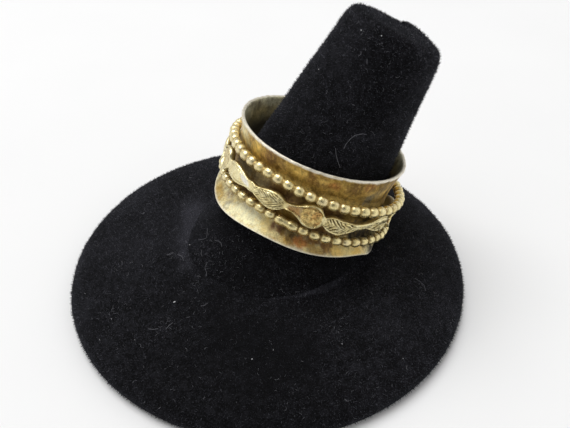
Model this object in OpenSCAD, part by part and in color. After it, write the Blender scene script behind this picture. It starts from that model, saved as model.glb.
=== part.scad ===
// A wide spinner ring with three loose hoops, on a plain leaning ring display stand.
// Millimetres. +Z is up, the origin is the middle of the stand's underside, and the post leans towards +X.

/* [Stand] */
// Diameter of the stand's round base
base_d = 57.2; // [52:0.2:64]
// Height of the base at its crown
base_h = 7.4; // [6.8:0.1:7.8]
// Height of the base's edge, where the dome starts
base_edge_h = 1.2; // [0.8:0.1:2]
// How full the dome is: 2 is an ellipse, more is boxier
dome_fullness = 2.14; // [2:0.01:2.3]
// Lean of the post from upright, towards +X
post_lean = 29.4; // [27:0.1:32]
// Diameter of the post at its foot
post_foot_d = 21.8; // [20.8:0.1:22]
// Diameter of the post at its tip
post_tip_d = 12.9; // [11:0.1:14]
// Length of the post along its lean
post_len = 34.7; // [32:0.1:40]
// How far the foot spreads where it meets the dome
foot_flare = 1.35; // [0.5:0.05:1.8]
// Radius of the post's rounded tip
tip_round = 1.4; // [0.8:0.1:2.5]

/* [Band] */
// Lean of the band's axis from upright
band_lean = 19.8; // [19:0.1:20.5]
// Diameter over the upper rim
upper_rim_d = 23.2; // [23:0.1:24]
// Diameter over the waist
waist_d = 21.6; // [21.4:0.05:21.7]
// Middle diameter over the wavy lower rim
lower_rim_d = 25.1; // [24.8:0.1:25.6]
// Middle depth of the band from rim to rim
band_depth = 10.7; // [10.6:0.05:11]
// Thickness of the sheet, measured level
wall = 0.5; // [0.4:0.05:0.55]

/* [Hoops] */
// Diameter of each hoop along the middle of its beads
hoop_d = 24.4; // [24.3:0.05:24.6]
// Diameter of a bead
bead_d = 1.36; // [1.1:0.02:1.4]
// Diameter of the neck between two beads
neck_d = 0.8; // [0.6:0.05:1]
// Beads round the upper hoop
upper_beads = 51; // [44:1:52]
// Beads round the lower hoop
lower_beads = 50; // [44:1:52]
// Diameter of a medallion on the leaf hoop
medallion_d = 3.24; // [2.8:0.02:3.3]
// Leaf and medallion groups round the leaf hoop
leaf_groups = 5; // [5:1:5]

/* [Hidden] */

// Stand: the foot's middle, the level of the seam and of the post's flat underside, how fast the spread fades
foot_at = [1.1, 0, 5.6];
seam_z = 7.05;
post_under_z = 6.2;
flare_fade = 1.6;
tip_crown = 0.45;
tip_flat = 0.4; // radius of the tip's last ring, as a share of the post's
post_rings_at = [18, 26]; // along the post, above its spread foot
base_under_in = 0.6; // how far the underside lies inside the base's edge
base_low_in = 0.1; // how far the middle of the edge lies inside it
dome_steps = 14;
post_sides = 48;
foot_r = post_foot_d / 2;
post_taper = (post_tip_d - post_foot_d) / 2 / post_len;

// Band: the middle of its upper rim, and the turn of its lean about Z
band_at = [8.95, 0.65, 21.65];
band_turn = 3.3;
waist_share = 0.45; // depth of the waist, as a share of the band's depth
upper_flare = 2.0; // powers of the two flares
lower_flare = 4.4;
band_sides = 72;
outer_shares = [0, 0.12, 0.26, 0.45, 0.6, 0.7, 0.78, 0.85, 0.9, 0.95, 1];
inner_shares = [1, 0.93, 0.85, 0.7, 0.45, 0.2, 0];
// Waves of the lower rim, a row for each: waves round the rim, cosine height, sine height
rim_out_waves = [[1, -0.46, -0.17], [2, -0.05, 0.17]];
rim_down_waves = [[1, 0.42, -0.02], [3, -0.14, 0.14]];

// Hoops: the tilt that all three share, and a row for each: depth below the upper rim, shift x, shift y, turn
hoop_tilt = [-1.4, 5.4];
upper_place = [3.85, 0.3, -0.3, 3.0];
leaf_place = [6.42, 0, -0.1, 26];
lower_place = [8.95, 0.3, 0.1, 2.4];
hoop_r = hoop_d / 2;
bead_sides = 10;
// One bead from neck to neck: share of its pitch, share of the way from neck to full width
bead_shape = [[0, 0], [0.2, 0.7], [0.5, 1], [0.8, 0.7]];
join_bead = 32; // the lower hoop is soldered shut before this bead
join_d = 1.2;

// The leaf hoop's strip over one group, a row for each section:
// share of the group's turn, half width, height of the shoulders, height of the middle
leaf_in = 0.3; // depth of the strip's inner face under the hoop's middle circle
leaf_in_sag = 0.02; // how much deeper it is along its middle
leaf_edge = 0.14; // depth of the strip's edges under its shoulders
shoulder = 0.8; // where the shoulders lie, as a share of the half width
trough = 0.55; // and where the middle starts
med_r = medallion_d / 2;
leaf_rows = [
    [0.000, med_r, 0.42, 0.24],
    [0.035, 0.97 * med_r, 0.42, 0.24],
    [0.065, 0.82 * med_r, 0.42, 0.28],
    [0.092, 0.52 * med_r, 0.38, 0.36],
    [0.115, 0.56, 0.26, 0.30],
    [0.140, 0.80, 0.24, 0.32],
    [0.175, 1.04, 0.24, 0.38],
    [0.225, 1.14, 0.24, 0.42],
    [0.280, 1.12, 0.24, 0.42],
    [0.335, 0.94, 0.24, 0.38],
    [0.390, 0.66, 0.24, 0.32],
    [0.430, 0.46, 0.22, 0.28],
    [0.460, 0.42, 0.24, 0.46],
    [0.490, 0.44, 0.22, 0.30],
    [0.530, 0.66, 0.24, 0.34],
    [0.580, 0.94, 0.24, 0.38],
    [0.630, 1.16, 0.24, 0.42],
    [0.685, 1.24, 0.24, 0.42],
    [0.730, 1.12, 0.24, 0.40],
    [0.765, 0.82, 0.24, 0.34],
    [0.790, 0.50, 0.22, 0.28],
    [0.820, 0.42, 0.28, 0.14],
    [0.850, 0.52, 0.30, 0.14],
    [0.880, 0.76, 0.34, 0.16],
    [0.910, 1.04, 0.38, 0.18],
    [0.935, 0.82 * med_r, 0.42, 0.24],
    [0.965, 0.97 * med_r, 0.42, 0.24]
];

// Sum of the waves in rows at angle a
function waves(rows, a) = [for (row = rows) row[1] * cos(row[0] * a) + row[2] * sin(row[0] * a)]
    * [for (row = rows) 1];

// Faces of a tube: sections of m points each, joined end to end when closed is true
function tube_faces(sections, m, closed) = [
    for (i = [0 : sections - (closed ? 1 : 2)], j = [0 : m - 1])
        let (a = i * m, b = (i + 1) % sections * m, k = (j + 1) % m)
        each [[a + j, b + j, b + k], [a + j, b + k, a + k]]
];

// Outer radius of the band at a share of its depth, at angle a
function band_r(share, a) =
    let (low_r = lower_rim_d / 2 + waves(rim_out_waves, a), waist_r = waist_d / 2)
    share < waist_share
        ? waist_r + (upper_rim_d / 2 - waist_r) * pow(1 - share / waist_share, upper_flare)
        : waist_r + (low_r - waist_r) * pow((share - waist_share) / (1 - waist_share), lower_flare);
function band_point(share, a, inset) =
    let (r = band_r(share, a) - inset, depth = band_depth + waves(rim_down_waves, a))
    [r * cos(a), r * sin(a), -share * depth];

// Distance along the post's axis at which its spread foot, at angle a, is at level z
function along_at(z, a) =
    (z - foot_at.z + (foot_r + foot_flare) * cos(a) * sin(post_lean))
    / (cos(post_lean) - post_taper * cos(a) * sin(post_lean));
function post_point(along, rise, a) =
    let (r = foot_r + post_taper * along + foot_flare * exp(-max(rise, 0) / flare_fade))
    [r * cos(a), r * sin(a), along];

// Radius of the wire of a bead hoop at a bead's own share of pitch
function wire_r(share, neck) = (neck + (bead_d - neck) * lookup(share, bead_shape)) / 2;

module placed_band() {
    translate(band_at) rotate([0, band_lean, band_turn]) children();
}

module placed_hoop(place) {
    placed_band()
        translate([place[1], place[2], -place[0]])
        rotate([hoop_tilt[0], hoop_tilt[1], 0])
        rotate([0, 0, place[3]])
        children();
}

module stand_base() {
    r = base_d / 2;
    rise = base_h - base_edge_h;
    dome = [for (i = [0 : dome_steps]) let (a = 90 * i / dome_steps)
        [r * pow(cos(a), 2 / dome_fullness), base_edge_h + rise * pow(sin(a), 2 / dome_fullness)]];
    color([0.07, 0.07, 0.09])
        rotate_extrude($fn = 96)
        polygon(concat([[0, 0], [r - base_under_in, 0], [r - base_low_in, base_edge_h / 2]], dome));
}

module stand_post() {
    rises = [0, 0.4, 0.9, 1.6, 2.6, 4.2]; // rings of the spread foot, above the seam
    no_spread = 99;
    top = post_len - tip_round;
    top_r = foot_r + post_taper * post_len;
    angles = [for (j = [0 : post_sides - 1]) 360 * j / post_sides];
    rings = concat(
        [[for (a = angles) post_point(along_at(post_under_z, a), 0, a)]],
        [for (rise = rises) [for (a = angles)
            post_point(along_at(seam_z, a) + rise / cos(post_lean), rise, a)]],
        [for (along = concat(post_rings_at, [top])) [for (a = angles) post_point(along, no_spread, a)]],
        [for (b = [22.5 : 22.5 : 90]) [for (a = angles)
            let (r = top_r - tip_round * (1 - cos(b))) [r * cos(a), r * sin(a), top + tip_round * sin(b)]]],
        [[for (a = angles) [tip_flat * top_r * cos(a), tip_flat * top_r * sin(a), post_len + tip_crown]]]
    );
    count = len(rings);
    last = (count - 1) * post_sides;
    color([0.07, 0.07, 0.09])
        difference() {
            translate(foot_at) rotate([0, post_lean, 0])
                polyhedron(
                    points = [for (ring = rings) each ring],
                    faces = concat(
                        tube_faces(count, post_sides, false),
                        [[for (j = [0 : post_sides - 1]) j]],
                        [[for (j = [post_sides - 1 : -1 : 0]) last + j]]
                    )
                );
            stand_base();
        }
}

module band() {
    sections = [for (i = [0 : band_sides - 1]) let (a = 360 * i / band_sides) concat(
        [for (share = outer_shares) band_point(share, a, 0)],
        [for (share = inner_shares) band_point(share, a, wall)]
    )];
    color([0.72, 0.62, 0.36])
        placed_band()
        polyhedron(
            points = [for (section = sections) each section],
            faces = tube_faces(band_sides, len(outer_shares) + len(inner_shares), true)
        );
}

// A ring of beads; the neck before bead number join is filled to join_d
module bead_hoop(beads, join) {
    steps = len(bead_shape);
    sections = [for (i = [0 : beads - 1], k = [0 : steps - 1])
        let (
            a = 360 * (i + bead_shape[k][0] - 0.5) / beads,
            neck = (i == join && k < 2) || (i == join - 1 && k > 2) ? join_d : neck_d,
            r = wire_r(bead_shape[k][0], neck)
        )
        [for (j = [0 : bead_sides - 1]) let (b = -360 * j / bead_sides, out = hoop_r + r * cos(b))
            [out * cos(a), out * sin(a), r * sin(b)]]];
    polyhedron(
        points = [for (section = sections) each section],
        faces = tube_faces(beads * steps, bead_sides, true)
    );
}

module upper_bead_hoop() {
    color([0.83, 0.77, 0.55]) placed_hoop(upper_place) bead_hoop(upper_beads, -1);
}

module lower_bead_hoop() {
    color([0.83, 0.77, 0.55]) placed_hoop(lower_place) bead_hoop(lower_beads, join_bead);
}

module leaf_hoop() {
    group_turn = 360 / leaf_groups;
    sections = [for (g = [0 : leaf_groups - 1], row = leaf_rows)
        let (
            a = group_turn * (g + row[0]),
            w = row[1],
            side = [
                [-w, -leaf_in], [0, -leaf_in - leaf_in_sag], [w, -leaf_in], [w, row[2] - leaf_edge],
                [shoulder * w, row[2]], [trough * w, row[3]], [0, row[3]], [-trough * w, row[3]],
                [-shoulder * w, row[2]], [-w, row[2] - leaf_edge]
            ]
        )
        [for (p = side) let (out = hoop_r + p[1]) [out * cos(a), out * sin(a), p[0]]]];
    color([0.83, 0.77, 0.55])
        placed_hoop(leaf_place)
        polyhedron(
            points = [for (section = sections) each section],
            faces = tube_faces(len(sections), len(sections[0]), true)
        );
}

stand_base();
stand_post();
band();
upper_bead_hoop();
leaf_hoop();
lower_bead_hoop();
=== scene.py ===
"""Looks of a wide gilt spinner ring with three loose hoops, standing on its leaning velvet ring stand."""
import math

import bmesh
import bpy
import numpy as np
from mathutils import Matrix, Vector, noise


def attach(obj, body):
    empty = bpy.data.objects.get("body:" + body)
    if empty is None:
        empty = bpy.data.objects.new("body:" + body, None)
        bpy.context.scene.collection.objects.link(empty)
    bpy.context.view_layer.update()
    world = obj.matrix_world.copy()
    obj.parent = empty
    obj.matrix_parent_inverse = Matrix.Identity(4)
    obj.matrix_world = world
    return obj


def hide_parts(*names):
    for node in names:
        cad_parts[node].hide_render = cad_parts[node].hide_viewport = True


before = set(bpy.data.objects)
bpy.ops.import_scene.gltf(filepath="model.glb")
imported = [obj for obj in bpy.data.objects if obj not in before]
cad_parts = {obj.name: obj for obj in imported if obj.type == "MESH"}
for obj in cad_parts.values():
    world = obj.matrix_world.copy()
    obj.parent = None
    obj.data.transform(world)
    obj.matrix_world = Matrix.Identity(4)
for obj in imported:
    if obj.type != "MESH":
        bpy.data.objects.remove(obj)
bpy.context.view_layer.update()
scene = bpy.context.scene
scene.view_settings.view_transform = "Standard"
MM = 0.001

# Stand sizes in millimetres, as in the solids
BASE_R = 28.6
BASE_H = 7.4
BASE_EDGE_H = 1.2
DOME_FULLNESS = 2.14
UNDER_R = 28.0
# Rings of the flat underside and its rounded edge: radius, height
UNDER_RINGS = [
    (0.3 * UNDER_R, 0), (0.7 * UNDER_R, 0), (0.96 * UNDER_R, 0), (UNDER_R, 0), (28.3, 0.12), (28.5, 0.6),
]
BASE_SIDES = 288
BASE_STEPS = 64
FOOT_AT = Vector((1.1, 0.0, 5.6))
POST_LEAN = math.radians(29.4)
FOOT_R = 10.9
TIP_R = 6.45
POST_LEN = 34.7
FOOT_FLARE = 1.35
FLARE_FADE = 1.6
SEAM_Z = 7.05
TIP_ROUND = 1.4
TIP_CROWN = 0.45
POST_TAPER = (TIP_R - FOOT_R) / POST_LEN
POST_SIDES = 224
# Where the post starts, inside the base, and how high its closely spaced rings go from the seam
POST_START_Z = 6.2
FLARE_H = 4.2

# Band sizes in millimetres, as in the solids
BAND_AT = Vector((8.95, 0.65, 21.65))
BAND_LEAN = math.radians(19.8)
BAND_TURN = math.radians(3.3)
UPPER_RIM_R = 11.6
WAIST_R = 10.8
LOWER_RIM_R = 12.55
BAND_DEPTH = 10.7
WALL = 0.5
WAIST_SHARE = 0.45
UPPER_LIP = 0.017
RIM_BURR = 0.08
UPPER_FLARE = 2.0
LOWER_FLARE = 4.4
# Waves of the lower rim, a row for each: waves round the rim, cosine height, sine height
RIM_OUT_WAVES = [(1, -0.46, -0.17), (2, -0.05, 0.17)]
RIM_DOWN_WAVES = [(1, 0.42, -0.02), (3, -0.14, 0.14)]
# Its finer waves, which go out and down alike and aren't in the solids
RIM_FINE_WAVES = [(1, -0.03, -0.04), (2, 0.03, 0.11), (3, -0.02, -0.08), (4, 0.06, 0.07), (5, -0.04, -0.03),
                  (6, 0.08, 0.01)]
# Its short bulges, a row for each: angle in degrees, half width in degrees, height
RIM_BULGES = [(296, 8, 0.30), (313, 9, -0.32)]

# Hoop sizes in millimetres, as in the solids, and a row of place for each hoop: depth, shift x, shift y, turn
HOOP_R = 12.2
BEAD_R = 0.68
BEAD_FULLNESS = 2.25
NECK_R = 0.4
UPPER_BEADS = 51
LOWER_BEADS = 50
JOIN_BEAD = 32
HOOP_TILT = (math.radians(-1.4), math.radians(5.4))
UPPER_PLACE = (3.85, 0.3, -0.3, 3.0)
LEAF_PLACE = (6.42, 0.0, -0.1, 26.0)
LOWER_PLACE = (8.95, 0.3, 0.1, 2.4)
LEAF_GROUPS = 5
LEAF_IN = 0.3
# The leaf strip over one group, a row a section: share of the turn, half width, shoulder and middle height
LEAF_ROWS = np.array([
    (0.000, 1.620, 0.42, 0.24), (0.035, 1.571, 0.42, 0.24), (0.065, 1.328, 0.42, 0.28),
    (0.092, 0.842, 0.38, 0.36), (0.115, 0.560, 0.26, 0.30), (0.140, 0.800, 0.24, 0.32),
    (0.175, 1.040, 0.24, 0.38), (0.225, 1.140, 0.24, 0.42), (0.280, 1.120, 0.24, 0.42),
    (0.335, 0.940, 0.24, 0.38), (0.390, 0.660, 0.24, 0.32), (0.430, 0.460, 0.22, 0.28),
    (0.460, 0.420, 0.24, 0.30), (0.490, 0.440, 0.22, 0.30), (0.530, 0.660, 0.24, 0.34),
    (0.580, 0.940, 0.24, 0.38), (0.630, 1.160, 0.24, 0.42), (0.685, 1.240, 0.24, 0.42),
    (0.730, 1.120, 0.24, 0.40), (0.765, 0.820, 0.24, 0.34), (0.790, 0.500, 0.22, 0.28),
    (0.820, 0.420, 0.28, 0.14), (0.850, 0.520, 0.30, 0.14), (0.880, 0.760, 0.34, 0.16),
    (0.910, 1.040, 0.38, 0.18), (0.935, 1.328, 0.42, 0.22), (0.965, 1.571, 0.42, 0.24),
    (1.000, 1.620, 0.42, 0.24),
])
# Its flat back, a point a row: share of the half width, depth under the hoop
STRIP_BACK = np.array([
    (1, 0), (1, LEAF_IN), (0.5, LEAF_IN + 0.015), (0, LEAF_IN + 0.02), (-0.5, LEAF_IN + 0.015),
    (-1, LEAF_IN), (-1, 0),
])
STRIP_SECTIONS = 1360
STRIP_STEPS = 45
GROUP_LENGTH = math.radians(360 / LEAF_GROUPS) * HOOP_R
# Where a group's two leaves start and end, and its balls: share of the turn, place across, radius
LEAF_SPANS = [(0.115, 0.435), (0.485, 0.795)]
LEAF_BALLS = [(0.46, 0.0, 0.27), (0.133, 0.42, 0.2)]
# The groups whose balls are worn away
BALD_GROUPS = (2, 3)
# Depth of a leaf's veins, the depths of some leaves by group and leaf, and the veins' step, slant and width
VEIN_DEPTH = 0.11
VEIN_DEPTHS = {(2, 0): 0.02, (2, 1): 0.12, (3, 0): 0.24, (3, 1): 0.36, (0, 0): 0.06, (4, 0): 0.2}
VEIN_STEP = 0.62
VEIN_SLANT = 1.25
VEIN_WIDTH = 0.075
# How far from its middle a rosette starts and ends its slope to the border
ROSETTE_EDGE = (1.27, 1.38)
# Turn of the solder join, and its form in bead radii
JOIN_TURN = 360 * (JOIN_BEAD - 0.5) / LOWER_BEADS
JOIN_FORM = (1.0, 1.34, 1.0)
# Where the hoops are painted lighter, on the side the light falls on: middle and half width of the
# stretch, in degrees
LIT_SIDE_BEADS = (170, 26)
LIT_SIDE_LEAVES = (146, 26)


def srgb(red, green, blue):
    """A linear colour from red, green and blue of 0 to 255."""
    parts = np.array((red, green, blue)) / 255
    return tuple(np.where(parts <= 0.04045, parts / 12.92, ((parts + 0.055) / 1.055) ** 2.4))


TONES = {
    "pale gold": srgb(242, 230, 178),
    "cream": srgb(232, 227, 190),
    "silver": srgb(236, 231, 215),
    "champagne": srgb(224, 206, 144),
    "gold": srgb(232, 200, 116),
    "ochre": srgb(202, 165, 84),
    "orange": srgb(204, 140, 82),
    "olive": srgb(176, 146, 74),
    "plum": srgb(142, 108, 80),
    "brown": srgb(140, 102, 58),
    "pewter": srgb(166, 162, 142),
    "umber": srgb(92, 72, 42),
    "shade_grey": srgb(74, 68, 60),
}
BRIGHT_TONES = ("cream", "silver", "gold", "champagne")
# Darkest and lightest of each kind of fibre, and of the floor
CLOTH_SHADES = (srgb(12, 12, 13), srgb(46, 46, 51))
FLOCK_SHADES = (srgb(13, 13, 14), srgb(94, 94, 102))
FLUFF_SHADES = (srgb(24, 24, 28), srgb(170, 170, 178))
HAIR_SHADES = (srgb(118, 118, 124), srgb(118, 118, 124))
DUST_SHADES = (srgb(214, 214, 218), srgb(214, 214, 218))
FLOOR_SHADES = ((0.825, 0.825, 0.825), (0.86, 0.86, 0.86))

# Camera: its place in metres, its directions before the roll, and its lens in millimetres
CAMERA_AT = (-0.021535, -0.066642, 0.069698)
CAMERA_RIGHT = Vector((0.93919, -0.34339, 0.0))
CAMERA_UP = Vector((0.22035, 0.60266, 0.76699))
CAMERA_BACK = Vector((-0.26335, -0.72037, 0.64168))
CAMERA_ROLL = math.radians(0.826)
LENS = 41.05
SOFTBOX_AT = Vector((-0.24, 0.44, 1.40))
SOFTBOX_POWER = 14.9
# The tent is dimmer where the camera stood, and brighter on the right and low on the left. A row for each:
# direction, nearness to it from which and to which the light changes, strength before and after
TENT_LIGHT = [
    ((-0.30, -0.75, 0.59), 0.86, 0.955, 0.58, 0.04),
    ((0.93, -0.30, 0.20), 0.70, 0.95, 0.0, 0.45),
    ((-0.96, 0.24, 0.12), 0.80, 0.96, 0.0, 0.5),
]

# What is placed after the photo, in degrees, millimetres and shares where nothing else is said
TIP_FOLD_AT = math.radians(53)
# Middle of the post's foot on the dome, and how far round it no fibres grow
FOOT_MIDDLE_X = 2.0
FOOT_COVERS = 10.3
# How far off the cloth the hairs and the specks of dust lie, and how thick they are
HAIRS_OUT = 0.35
DUST_OUT = 0.38
HAIR_THICKNESS = 0.02
DUST_THICKNESS = 0.07
# Painted highlight along the crease round the post's foot, where the cloth turns up to the light:
# distance, half width, angle, half width
CREASE_HIGHLIGHT = (12.3, 0.45, -86, 30)
# Fluff at the post's foot: distance along it and half length, angle and half width in radians
FOOT_FLUFF = (-2.2, 2.6, -2.88, 0.3)
# A stretch of the lower rim painted dark as shadow, and a dull stretch of the flare under the lower
# beads: angle, half width
SHADED_RIM = (304, 9)
DULL_FLARE = (209, 15)
# Painted highlight on a leaf of the strip's group 2: distance along the group and across, half length,
# half width
PAINTED_HIGHLIGHT = (5.9, 0.2, 1.2, 0.45)
# Where the post's tip is lifted and where it is pressed down: angle and half width in radians, height
TIP_LIFTS = [(math.radians(28), 0.42, 0.32), (math.radians(76), 0.4, -0.26)]
# Fluff caught on the dome: x, y, spread, thickness
LINT_PLACES = [
    (-11.6, -2.8, 0.3, 3.0), (2.8, -18.2, 2.0, 1.6), (16.6, -15.5, 1.2, 1.4), (-16.7, -10.0, 1.6, 1.4),
    (-12.3, -8.8, 1.4, 1.2), (-20.8, 2.9, 1.6, 1.3), (-23.3, -4.4, 1.5, 1.4), (-5.8, -24.3, 1.8, 0.8),
    (-14.0, 1.3, 1.4, 1.0),
]
# Patches of the dome, lighter or darker: x, y, spread, shift of the tone. The dark ones over the front
# are painted shade.
PALE_AND_SHADED_PATCHES = [
    (-8.0, 10.4, 2.0, 1.6), (-8.8, 8.0, 2.0, 2.4), (-9.8, 5.6, 1.7, 2.6), (-11.0, 3.2, 1.5, 2.2),
    (-12.0, 0.6, 1.2, 2.0), (-12.5, -1.7, 1.1, 1.4), (-19.0, -3.0, 5.0, 0.3), (-16.0, 5.0, 3.0, 0.4),
    (14.0, -12.0, 3.0, 0.3), (-13.0, -13.0, 8.0, -0.9), (-4.0, -19.0, 7.0, -0.7), (-6.0, -24.0, 6.0, -0.5),
]
# Stray hairs, by their places: distance along the post and angle round it, and x and y on the dome
POST_HAIRS = [
    [(20.3, 243.5), (20.9, 243.2), (21.8, 244.5), (22.4, 246.6), (22.6, 248.7), (22.9, 251.5), (23.0, 254.8)],
    [(19.9, 237.5), (19.3, 240.0), (18.7, 243.6), (18.0, 248.4)],
    [(30.7, 222.1), (30.4, 223.6), (30.2, 224.6)], [(0.3, 194.0), (0.7, 197.2), (0.8, 199.8), (0.5, 202.0)],
    [(-2.3, 188.6), (-2.7, 189.9), (-2.8, 192.3)],
    [(0.3, 180.4), (-0.3, 184.8), (-0.7, 185.7), (-1.4, 182.8), (-2.0, 179.0)],
    [(-2.7, 198.8), (-3.3, 199.4), (-3.6, 200.0), (-3.8, 202.5), (-4.2, 204.2)],
]
DOME_HAIRS = [
    [(-13.0, 0.8), (-12.5, 0.1), (-12.5, -0.8)], [(-11.3, 3.0), (-11.1, 2.6), (-11.6, 2.5)],
    [(-14.4, 1.6), (-14.0, 1.2), (-13.4, 1.4)], [(-10.9, 2.0), (-10.7, 1.8)],
    [(-19.5, -9.8), (-18.9, -10.2), (-18.3, -10.4)], [(-17.4, -10.9), (-16.9, -10.6), (-16.4, -10.4)],
    [(-12.4, -9.5), (-11.9, -9.6), (-11.4, -9.4)], [(-14.3, 1.3), (-13.9, 1.5), (-13.5, 1.4)],
    [(16.9, -16.4), (17.1, -15.5), (16.8, -14.7), (16.4, -14.2)],
]
# Specks of white dust: x, y and length on the dome, and distance along the post, angle and length
DOME_DUST = [
    (-15.4, -7.4, 0.13), (-8.7, -19.2, 0.05), (-10.9, 1.9, 0.07), (-25.6, -7.8, 0.015), (-23.6, -5.8, 0.02),
    (2.4, -21.0, 0.012), (-5.9, -19.0, 0.01), (-21.4, -10.5, 0.01), (9.1, -24.6, 0.01), (-26.3, 0.9, 0.012),
]
POST_DUST = [(33.7, 222.7, 0.015), (33.0, 202.0, 0.02), (26.4, 185.0, 0.01)]
# How the strip drifts up and down its hoop, a row for each place: angle, shift
LEAF_DRIFT = [
    (0, 0), (60, 0.05), (143, -0.05), (162, -0.26), (177, -0.22), (190, -0.22), (204, 0.2), (216, 0.2),
    (226, -0.04), (235, -0.36), (244, -0.04), (257, 0.38), (268, 0.43), (290, 0.2), (320, 0), (360, 0),
]
# How far each beaded hoop strays from its plane: angle, shift
UPPER_DRIFT = [
    (0, 0), (150, -0.06), (168, -0.12), (182, -0.08), (192, 0), (204, 0.14), (216, 0.15), (226, 0.02),
    (238, -0.06), (260, -0.12), (278, -0.12), (298, -0.04), (330, 0), (360, 0),
]
LOWER_DRIFT = [
    (0, 0), (160, -0.05), (180, -0.05), (188, 0), (198, 0.12), (208, 0.22), (218, 0.22), (228, 0.15),
    (238, 0.05), (248, -0.05), (268, -0.06), (278, 0), (288, 0.1), (315, 0.04), (340, 0), (360, 0),
]
# Stains of the band, a row for each: angle, share of depth, half length, half height, tone, thickness.
# The dark grey rows from 283 to 300 degrees are painted shade, partly a painted reflection of the dark
# velvet, not stains; the gold and champagne rows low on the flare from 269 to 287 degrees are partly
# painted highlight.
BAND_STAINS = [
    (172, 0.08, 1.6, 1.6, "cream", 0.9), (183, 0.16, 1.0, 1.4, "pewter", 0.6),
    (194, 0.10, 1.2, 1.2, "gold", 1.0), (180, 0.15, 1.2, 1.3, "cream", 0.5),
    (192, 0.17, 1.3, 1.2, "gold", 0.8), (204, 0.09, 1.2, 1.3, "plum", 0.8),
    (210, 0.15, 0.9, 0.9, "umber", 0.35), (216, 0.10, 0.9, 0.9, "champagne", 0.25),
    (222, 0.18, 0.9, 0.8, "umber", 0.45), (227, 0.11, 1.2, 0.8, "gold", 1.0),
    (236, 0.13, 0.9, 1.2, "brown", 0.4), (243, 0.10, 0.8, 0.5, "gold", 0.8),
    (250, 0.12, 0.9, 0.6, "orange", 0.7), (257, 0.08, 1.0, 0.6, "gold", 0.3),
    (263, 0.07, 1.6, 0.6, "umber", 0.45), (266, 0.15, 1.2, 1.2, "umber", 0.5),
    (276, 0.07, 1.0, 0.7, "orange", 0.6), (281, 0.25, 1.5, 1.1, "pewter", 1.0),
    (291, 0.20, 1.0, 1.4, "silver", 0.2), (299, 0.20, 0.8, 1.6, "umber", 0.9),
    (289, 0.12, 1.4, 1.6, "umber", 0.4), (155, 0.13, 2.9, 2.2, "silver", 0.9),
    (164, 0.88, 1.6, 0.8, "cream", 0.9), (172, 0.95, 2.4, 0.6, "olive", 0.9),
    (183, 0.88, 0.9, 0.7, "brown", 0.5), (188, 0.93, 0.8, 0.6, "pewter", 0.9),
    (194, 0.89, 0.9, 0.6, "pewter", 0.6), (205, 0.89, 2.8, 1.1, "cream", 1.0),
    (215, 0.88, 2.2, 1.1, "cream", 1.0), (210, 0.84, 3.0, 0.6, "silver", 0.9),
    (208, 0.87, 3.2, 0.7, "cream", 0.9), (219, 0.875, 1.3, 0.7, "champagne", 0.9),
    (221, 0.92, 1.0, 0.9, "champagne", 0.7), (228, 0.88, 1.3, 0.9, "plum", 1.0),
    (233, 0.95, 1.2, 0.5, "ochre", 0.9), (236, 0.87, 1.5, 0.9, "umber", 0.9),
    (243, 0.92, 1.0, 0.6, "orange", 1.0), (249, 0.88, 1.3, 0.6, "brown", 0.9),
    (253, 0.96, 1.4, 0.5, "olive", 0.8), (261, 0.91, 1.3, 0.7, "brown", 0.9),
    (269, 0.95, 1.2, 0.8, "gold", 1.0), (277, 0.94, 1.8, 1.1, "champagne", 1.0),
    (283, 0.97, 1.0, 0.4, "gold", 0.8), (287, 0.92, 1.4, 0.8, "gold", 0.7),
    (300, 0.95, 1.0, 2.0, "shade_grey", 1.0), (283, 0.72, 2.6, 1.7, "shade_grey", 1.0),
    (294, 0.70, 2.8, 1.9, "shade_grey", 1.0), (184, 0.45, 2.0, 1.4, "pewter", 0.6),
    (203, 0.43, 2.0, 1.4, "pewter", 0.5), (218, 0.47, 1.6, 1.2, "brown", 0.8),
    (228, 0.49, 1.6, 1.0, "plum", 0.7),
]


# Camera, floor and light

def add_camera():
    """A camera at the photograph's angle; the roll is under a degree."""
    data = bpy.data.cameras.new("camera")
    data.sensor_fit = "HORIZONTAL"
    data.sensor_width = 36
    data.lens = LENS
    data.clip_start = 0.005
    across = math.cos(CAMERA_ROLL) * CAMERA_RIGHT - math.sin(CAMERA_ROLL) * CAMERA_UP
    upward = math.sin(CAMERA_ROLL) * CAMERA_RIGHT + math.cos(CAMERA_ROLL) * CAMERA_UP
    turn = Matrix((across, upward, CAMERA_BACK)).transposed().to_4x4()
    camera = linked("camera", data)
    camera.matrix_world = Matrix.Translation(CAMERA_AT) @ turn
    scene.camera = camera


def add_softbox(name, place, target, size, power):
    """A square area light that faces its target."""
    data = bpy.data.lights.new(name, "AREA")
    data.size = size
    data.energy = power
    light = linked(name, data)
    light.location = place
    light.rotation_euler = (target - place).to_track_quat("-Z", "Y").to_euler()


# Node trees

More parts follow.
